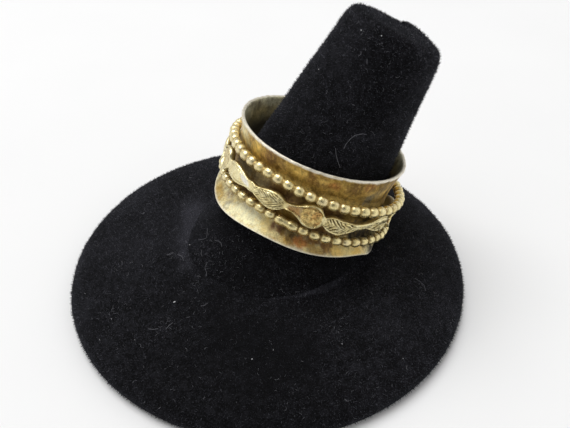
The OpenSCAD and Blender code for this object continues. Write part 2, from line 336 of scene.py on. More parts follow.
class Nodes:
    """Adds nodes to a tree. An input gets a link where its value is a socket, and else the value itself."""

    def __init__(self, tree):
        self.tree = tree

    def feed(self, node, inputs):
        """Gives a node these inputs."""
        for key, value in inputs.items():
            if isinstance(value, bpy.types.NodeSocket):
                self.tree.links.new(value, node.inputs[key])
            else:
                node.inputs[key].default_value = value

    def add(self, kind, inputs=None, **settings):
        """A new node's outputs."""
        node = self.tree.nodes.new(kind)
        for key, value in settings.items():
            setattr(node, key, value)
        self.feed(node, inputs or {})
        return node.outputs

    def get(self, kind, inputs=None, **settings):
        """A new node's first output."""
        return self.add(kind, inputs, **settings)[0]

    def math(self, operation, *values):
        return self.get("ShaderNodeMath", dict(enumerate(values)), operation=operation)

    def total(self, first, *others):
        for value in others:
            first = self.math("ADD", first, value)
        return first

    def times(self, first, *others):
        for value in others:
            first = self.math("MULTIPLY", first, value)
        return first

    def minus(self, first, second):
        return self.math("SUBTRACT", first, second)

    def over(self, first, second):
        return self.math("DIVIDE", first, second)

    def power(self, value, power):
        return self.math("POWER", value, power)

    def fit(self, value, low, high, to_low=0.0, to_high=1.0):
        """The value brought from one range to another, and held inside it."""
        return self.get("ShaderNodeMapRange", {0: value, 1: low, 2: high, 3: to_low, 4: to_high})

    def reach(self, value, start, end):
        """0 where value is start and 1 where it is end, and on beyond both."""
        return self.times(self.minus(value, start), 1 / (end - start))

    def vector(self, x, y, z):
        return self.get("ShaderNodeCombineXYZ", {0: x, 1: y, 2: z})

    def scaled(self, vector, scale):
        return self.get("ShaderNodeVectorMath", {0: vector, "Scale": scale}, operation="SCALE")

    def random(self, low, high, seed):
        """A number for each point, or a vector where low is a socket."""
        if isinstance(low, bpy.types.NodeSocket):
            inputs, kind, result = {0: low, 1: high, "Seed": seed}, "FLOAT_VECTOR", 0
        else:
            inputs, kind, result = {2: low, 3: high, "Seed": seed}, "FLOAT", 1
        return self.add("FunctionNodeRandomValue", inputs, data_type=kind)[result]

    def blend(self, share, first, second, way="MIX"):
        return self.add("ShaderNodeMix", {0: share, 6: first, 7: second}, data_type="RGBA", blend_type=way)[2]

    def shaded(self, share, shades):
        """A colour between the darkest and the lightest of two shades."""
        return self.blend(share, *[(*shade, 1) for shade in shades])

    def noise(self, place, scale, detail=3.0, rough=0.5):
        inputs = {"Vector": place, "Scale": scale, "Detail": detail, "Roughness": rough}
        return self.get("ShaderNodeTexNoise", inputs)

    def bump(self, strength, distance, height):
        """The direction of a skin with this relief."""
        return self.get("ShaderNodeBump", {"Strength": strength, "Distance": distance, "Height": height})

    def painted(self, name, output="Fac"):
        """In a material, what the mesh's own attribute says."""
        return self.add("ShaderNodeAttribute", attribute_name=name)[output]

    def attribute(self, name):
        """In a shape, what the mesh's own attribute says."""
        return self.get("GeometryNodeInputNamedAttribute", {"Name": name}, data_type="FLOAT")

    def store(self, shape, name, value, kind="FLOAT", domain="POINT"):
        """The shape with its own attribute of that name."""
        inputs = {"Geometry": shape, "Name": name, "Value": value}
        return self.get("GeometryNodeStoreNamedAttribute", inputs, data_type=kind, domain=domain)

    def copies(self, points, shape, turn, size):
        """A copy of the shape at each point."""
        inputs = {"Points": points, "Instance": shape, "Rotation": turn, "Scale": size}
        return self.get("GeometryNodeInstanceOnPoints", inputs)

    def tube(self, path, sides, radius, capped):
        """A round skin along a path."""
        section = self.get("GeometryNodeCurvePrimitiveCircle", {"Resolution": sides, "Radius": radius})
        inputs = {"Curve": path, "Profile Curve": section, "Fill Caps": capped}
        return self.get("GeometryNodeCurveToMesh", inputs)

    def finish_shape(self, shape, finish):
        """Ends a tree: real copies, smooth shading, and the finish."""
        real = self.get("GeometryNodeRealizeInstances", {"Geometry": shape})
        smooth = self.get("GeometryNodeSetShadeSmooth", {"Geometry": real})
        dressed = self.get("GeometryNodeSetMaterial", {"Geometry": smooth, "Material": finish})
        self.add("NodeGroupOutput", {"Geometry": dressed})


def shape_tree(name, inputs):
    """A Geometry Nodes tree with inputs of these names and kinds. Returns it, its nodes and its inputs."""
    tree = bpy.data.node_groups.new(name, "GeometryNodeTree")
    tree.interface.new_socket("Geometry", in_out="OUTPUT", socket_type="NodeSocketGeometry")
    for key, kind in inputs.items():
        tree.interface.new_socket(key, in_out="INPUT", socket_type="NodeSocket" + kind)
    nodes = Nodes(tree)
    return tree, nodes, nodes.add("NodeGroupInput")


def grow(name, tree, values, start):
    """A new plain mesh object: the tree's result on the start mesh, with these values for its inputs."""
    source = bpy.data.objects.new(name + "_source", start)
    scene.collection.objects.link(source)
    modifier = source.modifiers.new("shape", "NODES")
    modifier.node_group = tree
    for item in tree.interface.items_tree:
        if item.item_type == "SOCKET" and item.in_out == "INPUT" and item.name in values:
            modifier[item.identifier] = values[item.name]
    graph = bpy.context.evaluated_depsgraph_get()
    shaped = source.evaluated_get(graph)
    mesh = bpy.data.meshes.new_from_object(shaped, preserve_all_data_layers=True, depsgraph=graph)
    mesh.name = name
    bpy.data.objects.remove(source)
    return linked(name, mesh)


def scatter_tree():
    """Scatters a small shape over a skin, as thick as the skin's own attribute says, tipped at random. Each
    copy has its own cell of the map and its own shade."""
    tree, nodes, given = shape_tree("scatter on a skin", {
        "Geometry": "Geometry", "Shape": "Object", "Where": "String", "Per area": "Float",
        "Smallest": "Vector", "Largest": "Vector", "Tip": "Float", "Cells": "Float", "Seed": "Int",
        "Finish": "Material",
    })
    density = nodes.times(nodes.attribute(given["Where"]), given["Per area"])
    points = nodes.add("GeometryNodeDistributePointsOnFaces", {
        "Mesh": given["Geometry"], "Density": density, "Seed": given["Seed"],
    })
    spots = nodes.store(points["Points"], "cell", nodes.get("GeometryNodeInputIndex"))
    spots = nodes.store(spots, "shade", nodes.random(0.0, 1.0, 3))
    back, most = nodes.times(given["Tip"], -1.0), given["Tip"]
    tip = nodes.random(nodes.vector(back, back, -math.pi), nodes.vector(most, most, math.pi), 1)
    tip = nodes.get("FunctionNodeEulerToRotation", {0: tip})
    turned = nodes.get("FunctionNodeRotateRotation", {0: points["Rotation"], 1: tip}, rotation_space="LOCAL")
    sizes = {0: nodes.random(0.0, 1.0, 2), 4: given["Smallest"], 5: given["Largest"]}
    size = nodes.add("ShaderNodeMix", sizes, data_type="VECTOR")[1]
    shape = nodes.add("GeometryNodeObjectInfo", {"Object": given["Shape"], "As Instance": True})["Geometry"]
    copies = nodes.get("GeometryNodeRealizeInstances", {"Geometry": nodes.copies(spots, shape, turned, size)})
    cell = nodes.attribute("cell")
    column = nodes.math("FLOORED_MODULO", cell, given["Cells"])
    row = nodes.math("FLOOR", nodes.over(cell, given["Cells"]))
    map_x, map_y = [nodes.over(nodes.total(step, nodes.attribute(spot)), given["Cells"])
                    for step, spot in ((column, "spot_x"), (row, "spot_y"))]
    copies = nodes.store(copies, "OFBake", nodes.vector(map_x, map_y, 0.0), "FLOAT2", "CORNER")
    nodes.finish_shape(copies, given["Finish"])
    return tree


def band_tree():
    """Sweeps the band's section, an inset and a share of depth at each point, round its wavy flared form."""
    tree, nodes, given = shape_tree("flared band", {
        "Geometry": "Geometry", "Sides": "Int", "Waist radius": "Float", "Upper rim radius": "Float",
        "Lower rim radius": "Float", "Depth": "Float", "Wall": "Float", "Hammering": "Float",
        "Nicks": "Float", "Finish": "Material",
    })
    count = nodes.get("GeometryNodeAttributeDomainSize", {0: given["Geometry"]})
    column = nodes.total(count, 1.0)
    skin = nodes.get("GeometryNodeMeshGrid", {
        "Size X": 1.0, "Size Y": 1.0, "Vertices X": nodes.total(given["Sides"], 1.0), "Vertices Y": column,
    })
    index = nodes.get("GeometryNodeInputIndex")
    side = nodes.math("FLOOR", nodes.over(nodes.total(index, 0.5), column))
    step = nodes.minus(index, nodes.times(side, column))
    section = nodes.get("GeometryNodeSampleIndex", {
        "Geometry": given["Geometry"], "Value": nodes.get("GeometryNodeInputPosition"),
        "Index": nodes.math("FLOORED_MODULO", step, count),
    }, data_type="FLOAT_VECTOR")
    inset, share, _ = nodes.add("ShaderNodeSeparateXYZ", {0: section})
    angle = nodes.times(nodes.over(side, given["Sides"]), math.tau)
    cosine, sine = nodes.math("COSINE", angle), nodes.math("SINE", angle)

    def waves(rows):
        parts = []
        for order, out, aside in rows:
            turned = nodes.times(angle, float(order))
            parts.append(nodes.times(nodes.math("COSINE", turned), out))
            parts.append(nodes.times(nodes.math("SINE", turned), aside))
        return nodes.total(*parts)

    def bulges(rows):
        parts = []
        for middle, wide, height in rows:
            away = nodes.over(nodes.minus(angle, math.radians(middle)), math.radians(wide))
            parts.append(nodes.times(nodes.math("EXPONENT", nodes.times(away, away, -1.0)), height))
        return nodes.total(*parts)

    def flare(rim, end, power):
        rise = nodes.power(nodes.math("MAXIMUM", nodes.reach(share, WAIST_SHARE, end), 0.0), power)
        return nodes.times(nodes.minus(rim, given["Waist radius"]), rise)

    fine = nodes.total(waves(RIM_FINE_WAVES), bulges(RIM_BULGES))
    low_rim = nodes.total(given["Lower rim radius"], waves(RIM_OUT_WAVES), fine)
    radius = nodes.total(given["Waist radius"], flare(given["Upper rim radius"], 0.0, UPPER_FLARE),
                         flare(low_rim, 1.0, LOWER_FLARE))
    low = nodes.times(share, nodes.total(given["Depth"], waves(RIM_DOWN_WAVES), fine), -1.0)

    # Hammer marks are tall and narrow on the outer skin, and the rims carry small nicks
    dents_at = nodes.vector(nodes.times(cosine, 11.0), nodes.times(sine, 11.0), nodes.times(low, 0.28))
    dents = nodes.fit(nodes.noise(dents_at, 1.1, 2.0), 0.3, 0.7, -1.0, 1.0)
    dents = nodes.times(dents, nodes.times(given["Hammering"], nodes.fit(share, 0.3, 0.7, 1.0, 0.3)))
    outer = nodes.minus(1.0, inset)
    rim = nodes.power(nodes.math("ABSOLUTE", nodes.fit(share, 0.0, 1.0, -1.0, 1.0)), 40.0)
    nicks = nodes.fit(nodes.noise(dents_at, 1.7, 3.0), 0.3, 0.7, -1.0, 1.0)
    nicks = nodes.times(nicks, rim, given["Nicks"])
    burr = nodes.times(nodes.power(nodes.math("MAXIMUM", share, 0.0), 90.0), RIM_BURR)
    radius = nodes.minus(radius, nodes.times(inset, given["Wall"]))
    radius = nodes.total(radius, nodes.times(dents, outer), nicks, nodes.times(burr, outer))
    spot = nodes.vector(nodes.times(radius, cosine), nodes.times(radius, sine), nodes.total(low, nicks))
    map_spot = nodes.vector(nodes.over(side, given["Sides"]), nodes.over(step, count), 0.0)
    skin = nodes.store(skin, "OFBake", map_spot, "FLOAT2", "CORNER")
    skin = nodes.store(nodes.store(skin, "inset", inset), "share", share)
    skin = nodes.get("GeometryNodeSetPosition", {"Geometry": skin, "Position": spot})
    skin = nodes.get("GeometryNodeMergeByDistance", {"Geometry": skin, "Distance": 1e-4})
    nodes.finish_shape(skin, given["Finish"])
    return tree


def bead_hoop_tree():
    """A hoop of beads strung on a wire, each a little uneven; at the solder join two of them run together."""
    tree, nodes, given = shape_tree("beaded hoop", {
        "Beads": "Int", "Hoop radius": "Float", "Bead radius": "Float", "Bead height": "Float",
        "Bead length": "Float", "Neck radius": "Float", "Join": "Int", "Unevenness": "Float", "Seed": "Int",
        "Finish": "Material",
    })
    places = nodes.get("GeometryNodeMeshCircle", {"Vertices": given["Beads"], "Radius": given["Hoop radius"]})
    index = nodes.get("GeometryNodeInputIndex")
    angle = nodes.times(nodes.over(index, given["Beads"]), math.tau)
    # Fuller than a ball, so that beads side by side meet over a small flat
    spot = nodes.get("GeometryNodeInputPosition")
    x, y, z = nodes.add("ShaderNodeSeparateXYZ", {0: spot})
    girth = nodes.math("SQRT", nodes.total(nodes.times(x, x), nodes.times(y, y)))
    upward = nodes.power(nodes.math("ABSOLUTE", z), BEAD_FULLNESS)
    powers = nodes.total(nodes.power(girth, BEAD_FULLNESS), upward)
    spot = nodes.scaled(spot, nodes.power(nodes.math("MAXIMUM", powers, 0.001), -1 / BEAD_FULLNESS))
    bead = nodes.get("GeometryNodeMeshUVSphere", {"Segments": 20, "Rings": 14, "Radius": 1.0})
    bead = nodes.get("GeometryNodeSetPosition", {"Geometry": bead, "Position": spot})
    bead = nodes.get("GeometryNodeTransform", {"Geometry": bead, "Rotation": (math.pi / 2, 0, 0)})
    least, most = nodes.minus(1.0, given["Unevenness"]), nodes.total(1.0, given["Unevenness"])
    sizes = nodes.random(nodes.vector(least, least, least), nodes.vector(most, most, most), given["Seed"])
    from_join = nodes.math("ABSOLUTE", nodes.minus(nodes.minus(given["Join"], 0.5), index))
    full = nodes.vector(1.0, given["Bead length"], given["Bead height"])
    forms = {"Switch": nodes.math("LESS_THAN", from_join, 0.6), "False": full, "True": JOIN_FORM}
    form = nodes.get("GeometryNodeSwitch", forms, input_type="VECTOR")
    size = nodes.get("ShaderNodeVectorMath", {0: sizes, 1: form}, operation="MULTIPLY")
    size = nodes.scaled(size, given["Bead radius"])
    beads = nodes.copies(places, bead, nodes.vector(0.0, 0.0, angle), size)
    path = nodes.get("GeometryNodeCurvePrimitiveCircle", {"Resolution": 240, "Radius": given["Hoop radius"]})
    both = nodes.tree.nodes.new("GeometryNodeJoinGeometry")
    nodes.tree.links.new(nodes.tube(path, 14, given["Neck radius"], False), both.inputs[0])
    nodes.tree.links.new(beads, both.inputs[0])
    nodes.finish_shape(both.outputs[0], given["Finish"])
    return tree


def thread_tree():
    """Gives polylines a round thickness."""
    tree, nodes, given = shape_tree("loose threads", {
        "Geometry": "Geometry", "Thickness": "Float", "Finish": "Material",
    })
    path = nodes.get("GeometryNodeMeshToCurve", {"Mesh": given["Geometry"]})
    nodes.finish_shape(nodes.tube(path, 5, given["Thickness"], True), given["Finish"])
    return tree


# Meshes

def linked(name, data):
    """A new object in the scene."""
    obj = bpy.data.objects.new(name, data)
    scene.collection.objects.link(obj)
    return obj


def mesh_of(name, points, faces, edges=()):
    """A mesh of these points, faces and edges."""
    mesh = bpy.data.meshes.new(name)
    mesh.from_pydata(np.asarray(points).tolist(), list(edges), faces)
    mesh.update()
    return mesh


def polar(radius, angle, height):
    """Points at these distances from the axis, angles about it and heights."""
    return np.stack(np.broadcast_arrays(radius * np.cos(angle), radius * np.sin(angle), height), -1)


def skin_over(name, rings, closed):
    """A skin over rings of points: joined end to end when closed is true, and else capped at both ends."""
    count, sides = rings.shape[:2]
    points = rings.reshape(-1, 3)
    row = np.arange(count if closed else count - 1)[:, None] * sides
    step = np.arange(sides)[None]
    beside = (step + 1) % sides
    above = (row + sides) % (count * sides)
    faces = np.stack([row + step, row + beside, above + beside, above + step], -1).reshape(-1, 4).tolist()
    if not closed:
        points = np.concatenate([points, rings[:1].mean(1), rings[-1:].mean(1)])
        low, high = count * sides, count * sides + 1
        last = (count - 1) * sides
        faces += [(low, (j + 1) % sides, j) for j in range(sides)]
        faces += [(high, last + j, last + (j + 1) % sides) for j in range(sides)]
    mesh = mesh_of(name, points, faces)
    work = bmesh.new()
    work.from_mesh(mesh)
    bmesh.ops.recalc_face_normals(work, faces=work.faces)
    work.to_mesh(mesh)
    work.free()
    mesh.shade_smooth()
    return mesh


def points_of(mesh):
    """Where the mesh's points are, a row each."""
    points = np.zeros(len(mesh.vertices) * 3, np.float32)
    mesh.vertices.foreach_get("co", points)
    return points.reshape(-1, 3).astype(float)


def place_points(mesh, points):
    """Moves the mesh's points to these places."""
    mesh.vertices.foreach_set("co", np.asarray(points, np.float32).ravel())
    mesh.update()


def unit(rows):
    """Each row as a direction of length 1."""
    return rows / (np.linalg.norm(rows, axis=1)[:, None] + 1e-9)


def points_and_turns(mesh):
    """Where the mesh's points are, and the angle of each about the middle, in degrees from 0 to 360."""
    points = points_of(mesh)
    return points, np.degrees(np.arctan2(points[:, 1], points[:, 0])) % 360


def cloud(points, size, octaves=3, seed=0.0):
    """Soft noise of about -1 to 1 at points in millimetres, with features of that size."""
    offset = Vector((seed, 2.3 * seed, 4.1 * seed))
    return np.array([noise.fractal(Vector(p) / size + offset, 1.0, 2.0, octaves) for p in points])


def ease(value, low, high):
    """0 below low and 1 above high, with a smooth step between."""
    share = np.clip((value - low) / (high - low), 0, 1)
    return share * share * (3 - 2 * share)


def between(value, rise, fall):
    """1 from the end of rise to the start of fall, which are steps from low to high, and 0 outside them."""
    return ease(value, *rise) * (1 - ease(value, *fall))


def hill(value, middle, width):
    """1 at the middle, and next to nothing from two widths off."""
    return np.exp(-((value - middle) / width) ** 2)


def with_patches(values, points, rows):
    """The values with a soft patch added for each row: x, y, spread, amount."""
    for x, y, wide, amount in rows:
        values = values + amount * hill(np.hypot(points[:, 0] - x, points[:, 1] - y), 0, wide)
    return values


def keep_numbers(mesh, **numbers):
    """Stores numbers for each point, under their names."""
    for name, values in numbers.items():
        data = mesh.attributes.new(name, "FLOAT", "POINT").data
        data.foreach_set("value", np.asarray(values, np.float32))


def kept_numbers(mesh, name):
    """The number that is stored for each point."""
    values = np.zeros(len(mesh.vertices), np.float32)
    mesh.attributes[name].data.foreach_get("value", values)
    return values


def keep_tone(mesh, tone):
    """Stores a colour for each point, which the metal's finish starts from."""
    full = np.concatenate([np.clip(tone, 0, 1), np.ones((len(tone), 1))], 1)
    data = mesh.attributes.new("tone", "FLOAT_COLOR", "POINT").data
    data.foreach_set("color", full.astype(np.float32).ravel())


def laid(tone, *layers):
    """The tone with layers of named tones over it, each as thick as its share."""
    for name, share in layers:
        share = np.clip(share, 0, 1)[:, None]
        tone = tone * (1 - share) + np.array(TONES[name]) * share
    return tone


def all_over(name, count):
    """A named tone for each of count points."""
    return np.tile(TONES[name], (count, 1))


# Velvet stand

def dome_at(radius):
    """Height of the dome at a distance from its middle."""
    share = np.clip(radius / BASE_R, 0, 1) ** (DOME_FULLNESS / 2)
    return BASE_EDGE_H + (BASE_H - BASE_EDGE_H) * (1 - share ** 2) ** (1 / DOME_FULLNESS)


def base_mesh():
    """The dome with its rounded edge and flat underside, and what its pile, fluff and brushing are like,
    with painted shade over the front and a painted highlight in the crease at the post's foot.
    """
    angle = np.linspace(0, math.tau, BASE_SIDES, endpoint=False)
    rise = np.linspace(0, math.pi / 2, BASE_STEPS)[:-1]
    radii = BASE_R * np.cos(rise) ** (2 / DOME_FULLNESS)
    levels = BASE_EDGE_H + (BASE_H - BASE_EDGE_H) * np.sin(rise) ** (2 / DOME_FULLNESS)
    under_radii, under_levels = np.array(UNDER_RINGS).T
    radii = np.concatenate([under_radii, radii, [0.5]])
    levels = np.concatenate([under_levels, levels, [BASE_H]])
    mesh = skin_over("velvet_base", polar(radii[:, None], angle, levels[:, None]), closed=False)
    points = points_of(mesh)
    outside = ease(points[:, 2], 0.1, 0.7)
    out = unit(np.stack([points[:, 0], points[:, 1], np.maximum(points[:, 2] - 1, 0) * 5], -1))
    swell = 0.10 * cloud(points, 9.0) + 0.03 * cloud(points, 1.6)
    place_points(mesh, points + out * (swell * outside)[:, None])
    foot = np.hypot(points[:, 0] - FOOT_MIDDLE_X, points[:, 1])
    open_to_air = foot > FOOT_COVERS
    lint = with_patches(0.10 + 0.22 * ease(cloud(points, 8.0, seed=6.0), -0.1, 0.5), points, LINT_PLACES)
    # Soft noise with pale and dark patches; the dark patches over the front are painted shade
    brushed = with_patches(0.5 + 0.5 * cloud(points, 6.0, 4, seed=8.0), points, PALE_AND_SHADED_PATCHES)
    # A painted highlight lightens the crease at the post's foot
    turn = np.degrees(np.arctan2(points[:, 1], points[:, 0] - FOOT_MIDDLE_X))
    reach, wide, middle, spread = CREASE_HIGHLIGHT
    brushed = brushed + 3.2 * hill(foot, reach, wide) * hill(turn, middle, spread)
    keep_numbers(mesh, pile=outside * open_to_air, lint=lint * outside * open_to_air, brushed=brushed)
    return mesh


def foot_flare(angle):
    """How far the foot spreads; on the side away from the lean the cloth meets the dome without spreading."""
    return FOOT_FLARE * ease(np.cos(angle), -0.96, -0.35)


def along_at(level, angle):
    """Distance along the post's axis at which its spread foot is at this level."""
    tilt, spread = math.sin(POST_LEAN), (FOOT_R + foot_flare(angle)) * np.cos(angle)
    return (level - FOOT_AT.z + spread * tilt) / (math.cos(POST_LEAN) - POST_TAPER * np.cos(angle) * tilt)


def post_turn():
    """Leans the post, and stands it on the base."""
    return Matrix.Translation(FOOT_AT) @ Matrix.Rotation(POST_LEAN, 4, "Y")


def post_rings():
    """Rings of points up the post: its spread foot, its taper, its rounded tip and the tip's low crown."""
    angle = np.linspace(0, math.tau, POST_SIDES, endpoint=False)
    seam = along_at(SEAM_Z, angle)

    def ring(along):
        rise = np.maximum((along - seam) * math.cos(POST_LEAN), 0)
        radius = FOOT_R + POST_TAPER * along + foot_flare(angle) * np.exp(-rise / FLARE_FADE)
        return polar(radius, angle, along)

    spread = seam + FLARE_H / math.cos(POST_LEAN)
    top = POST_LEN - TIP_ROUND
    top_r = FOOT_R + POST_TAPER * POST_LEN
    rings = [ring(along_at(POST_START_Z, angle))]
    rings += [ring(seam * (1 - share) + spread * share) for share in np.linspace(0, 1, 26)]
    rings += [ring(spread * (1 - share) + top * share) for share in np.linspace(0, 1, 70)[1:]]
    for turn in np.linspace(0, math.pi / 2, 10)[1:]:
        rings.append(polar(top_r - TIP_ROUND * (1 - math.cos(turn)), angle, top + TIP_ROUND * math.sin(turn)))
    for share in (0.92, 0.8, 0.65, 0.5, 0.35, 0.2, 0.08):
        rings.append(polar((top_r - TIP_ROUND) * share, angle, POST_LEN + TIP_CROWN * (1 - share ** 2)))
    return np.array(rings)


def post_mesh():
    """The post with its folded tip, and what its pile, fluff and brushing are like, with painted shade on
    the tip's top and on the foot under the ring.
    """
    mesh = skin_over("velvet_post", post_rings(), closed=False)
    points = points_of(mesh)
    along = points[:, 2]
    out = unit(points * (1, 1, 0))
    out[:, 2] = ease(along, POST_LEN - 1.0, POST_LEN)
    swell = 0.07 * cloud(points, 5.0, seed=3.0) + 0.03 * cloud(points, 1.4, seed=5.0)
    # The cloth's cut edge shows as a shallow fold round the tip, deepest on the far side
    turn = np.arctan2(points[:, 1], points[:, 0])
    fold = hill(along, POST_LEN - 1.55, 0.16) * (0.10 + 0.16 * hill(turn, TIP_FOLD_AT, 0.5))
    fold = fold + 0.30 * hill(turn, TIP_FOLD_AT, 0.05) * ease(along, POST_LEN - 1.6, POST_LEN - 0.4)
    points = points + out * (swell - fold * (along > 20))[:, None]
    lift = sum(height * hill(turn, middle, wide) for middle, wide, height in TIP_LIFTS)
    points[:, 2] += lift * ease(points[:, 2], POST_LEN - 3.5, POST_LEN - 0.5)
    along = points[:, 2]
    brushed = 0.5 + 0.5 * cloud(points, 5.0, 4, seed=8.0)
    # Painted shade: darker over the tip's top and low on the post, under the ring
    brushed = brushed - 0.55 * ease(along, POST_LEN - 0.5, POST_LEN - 0.05)
    brushed = brushed - 0.5 * (1 - ease(along, 8.0, 14.0))
    lint = 0.16 + 0.25 * ease(cloud(points, 6.0, seed=6.0), -0.1, 0.5) + 0.3 * ease(along, 28.0, 34.0)
    middle, length, angle, wide = FOOT_FLUFF
    lint = lint + 1.2 * hill(np.hypot((along - middle) / length, (turn - angle) / wide), 0, 1)
    place_points(mesh, points)
    mesh.transform(post_turn())
    points = points_of(mesh)
    showing = points[:, 2] > dome_at(np.hypot(points[:, 0], points[:, 1])) - 0.05
    keep_numbers(mesh, pile=showing, lint=lint * showing, brushed=brushed)
    return mesh


def on_post(along, turn, out):
    """A point this far off the post's skin, at a distance along it and an angle in degrees."""
    radius, angle = FOOT_R + POST_TAPER * along + out, math.radians(turn)
    return post_turn() @ Vector((radius * math.cos(angle), radius * math.sin(angle), along))


def on_dome(x, y, out):
    """A point this far above the dome."""
    return Vector((x, y, float(dome_at(math.hypot(x, y))) + out))


def small_shape(name, mesh):
    """A shape to be scattered, kept out of the scene, with each point's spot in its cell of the map."""
    points = points_of(mesh)
    low, high = points.min(0), points.max(0)
    spot = 0.15 + 0.7 * (points - low) / (high - low)
    keep_numbers(mesh, spot_x=spot[:, 0], spot_y=spot[:, 1])
    return bpy.data.objects.new(name, mesh)


def spike_shape():
    """One fibre of the pile: a slim three-sided spike."""
    corners = [(1, 0, -0.3), (-0.5, 0.87, -0.3), (-0.5, -0.87, -0.3), (0, 0, 1)]
    return small_shape("spike", mesh_of("spike", corners, [(0, 2, 1), (0, 1, 3), (1, 2, 3), (2, 0, 3)]))


def curl_shape():
    """One fibre of the fluff: a thin curl."""
    bend = np.linspace(0, 2.2, 6)
    path = np.stack([np.cos(bend) - 0.5, np.sin(bend) - 0.5, 0.12 * np.sin(3 * bend)], -1)
    out = np.stack([np.cos(bend), np.sin(bend), 0 * bend], -1)
    sides = np.linspace(0, math.tau, 3, endpoint=False)[None, :, None]
    rings = path[:, None] + 0.035 * (np.cos(sides) * out[:, None] + np.sin(sides) * np.array((0, 0, 1)))
    return small_shape("curl", skin_over("curl", rings, closed=False))


# Metal ring

def band_frame():
    """The band's place and lean on the post."""
    turned = Matrix.Rotation(BAND_TURN, 4, "Z")
    return Matrix.Translation(BAND_AT) @ turned @ Matrix.Rotation(BAND_LEAN, 4, "Y")


def hoop_frame(place):
    """A hoop's place, tilt and turn on the band."""
    depth, x, y, turn = place
    tilt = Matrix.Rotation(HOOP_TILT[1], 4, "Y") @ Matrix.Rotation(HOOP_TILT[0], 4, "X")
    turned = Matrix.Rotation(math.radians(turn), 4, "Z")
    return band_frame() @ Matrix.Translation((x, y, -depth)) @ tilt @ turned


def band_section():
    """Inset and share of depth at each point round the band's section, with rounded rims."""
    lip = 0.5 * WALL / BAND_DEPTH
    rim = [(0.5 - 0.5 * math.cos(a), lip * math.sin(a)) for a in np.linspace(0, math.pi, 8)[1:-1]]
    outer = [(0.0, share) for share in np.linspace(lip - UPPER_LIP, 1 - lip, 60)]
    inner = [(1.0, share) for share in np.linspace(1 - lip, lip - UPPER_LIP, 34)]
    below = [(inset, 1 - lip + swell) for inset, swell in rim]
    above = [(1 - inset, lip - swell - UPPER_LIP) for inset, swell in rim]
    points = outer + below + inner + above
    return [(inset, share, 0.0) for inset, share in points]


def paint_band(mesh):
    """Tarnish and worn gilding of the band, from its stains and soft noise."""
    points, angle = points_and_turns(mesh)
    inset, share = kept_numbers(mesh, "inset"), kept_numbers(mesh, "share")
    tall = points * (1, 1, 0.4)
    broad, patchy = cloud(tall, 4.0, seed=7.0), cloud(tall, 1.3, 4, seed=9.0)
    fine, blotch = cloud(points, 0.5, seed=11.0), cloud(points, 0.9, 4, seed=13.0)
    rounded = cloud(points, 2.2, 4, seed=15.0)
    specks = cloud(points * (1, 1, 0.6), 0.34, 3, seed=19.0) + 0.5 * fine
    waist = between(share, (0.3, 0.42), (0.74, 0.86))
    flare = ease(share, 0.74, 0.87)
    tone = laid(
        all_over("olive", len(points)),
        ("ochre", 0.5 + 1.2 * patchy),
        ("gold", ease(patchy + 0.5 * fine, 0.15, 0.6) * 0.7),
        ("plum", ease(broad + 0.5 * patchy, 0.0, 0.5) * 0.6),
        # Painted light: this gold band lifts the upper wall lower down, where the hoops and velvet leave it
        # in shade
        ("gold", 0.85 * between(share, (0.12, 0.24), (0.36, 0.5))),
        ("umber", waist * (0.30 + 0.6 * patchy)),
        ("plum", waist * ease(broad, -0.1, 0.4) * 0.4),
        ("cream", flare * (0.95 - 0.5 * broad)),
        ("champagne", flare * ease(blotch + 0.5 * fine, 0.0, 0.5) * 0.7),
        ("pewter", flare * ease(broad - 0.8 * blotch, 0.1, 0.5) * 0.5),
    )
    # Stains have ragged edges, pale ones are polished, and patches of painted shade hide the specks
    patchy = patchy * (1 - flare) + blotch * flare
    polish, painted_dark = 0 * share, 0 * share
    for at, depth, wide, high, name, thickness in BAND_STAINS:
        apart = (angle - at + 180) % 360 - 180
        away = np.hypot(np.radians(apart) * WAIST_R / wide, (share - depth) * BAND_DEPTH / high)
        stain = thickness * (1 - ease(away + 0.55 * patchy + 0.45 * fine, 0.3, 1.3))
        tone = laid(tone, (name, stain))
        polish = np.maximum(polish, 0.8 * stain) if name in BRIGHT_TONES else polish * (1 - stain)
        painted_dark = np.maximum(painted_dark, stain * (name == "shade_grey"))
    plain = (1 - flare * 0.5 - waist * 0.4) * (1 - 0.85 * painted_dark)
    tone = laid(tone, ("umber", plain * ease(specks, 0.1, 0.6) * 0.4))
    tone = laid(tone, ("gold", plain * ease(-specks, 0.15, 0.6) * 0.5))
    # The lining is painted lighter near the upper rim and darker deeper in, as painted light and shade, with
    # umber stains over it
    lining = laid(
        all_over("champagne", len(points)),
        ("cream", 0.3 + 0.6 * rounded + 0.6 * (1 - ease(share, 0.03, 0.14))),
        ("umber", 0.05 + 0.9 * cloud(points, 1.3, 4, seed=17.0)),
        ("shade_grey", ease(share + 0.12 * rounded, 0.10, 0.40) * 0.8),
    )
    inside = ease(inset, 0.6, 1.0)
    tone = tone * (1 - inside[:, None]) + lining * inside[:, None]
    # The rims are worn down to bare silver, apart from a stretch of the lower one painted dark as shadow
    bare = (0.026 + 0.02 * np.clip(patchy, -0.8, 1)) * (1 - inside) - UPPER_LIP * 0.5
    upper_edge = 1 - ease(share, bare - 0.012, bare + 0.006)
    edge = np.maximum(ease(share, 0.982, 0.992) * (1 - 0.7 * inside), upper_edge)
    edge = edge * (1 - 0.7 * hill(angle, *SHADED_RIM) * (share > 0.5))
    keep_tone(mesh, laid(tone, ("silver", edge * (0.9 - 0.3 * ease(fine, 0.2, 0.8)))))
    # Under the lower beads the flare is as dull as the lining
    tucked = hill(angle, *DULL_FLARE) * hill(share, 0.865, 0.05) * (1 - inside)
    keep_numbers(mesh, polish=np.maximum(edge, polish * (1 - inside)),
                 recess=(0.25 * waist + 0.7 * flare) * (1 - inside),
                 lining=np.maximum(inside, 0.8 * tucked))


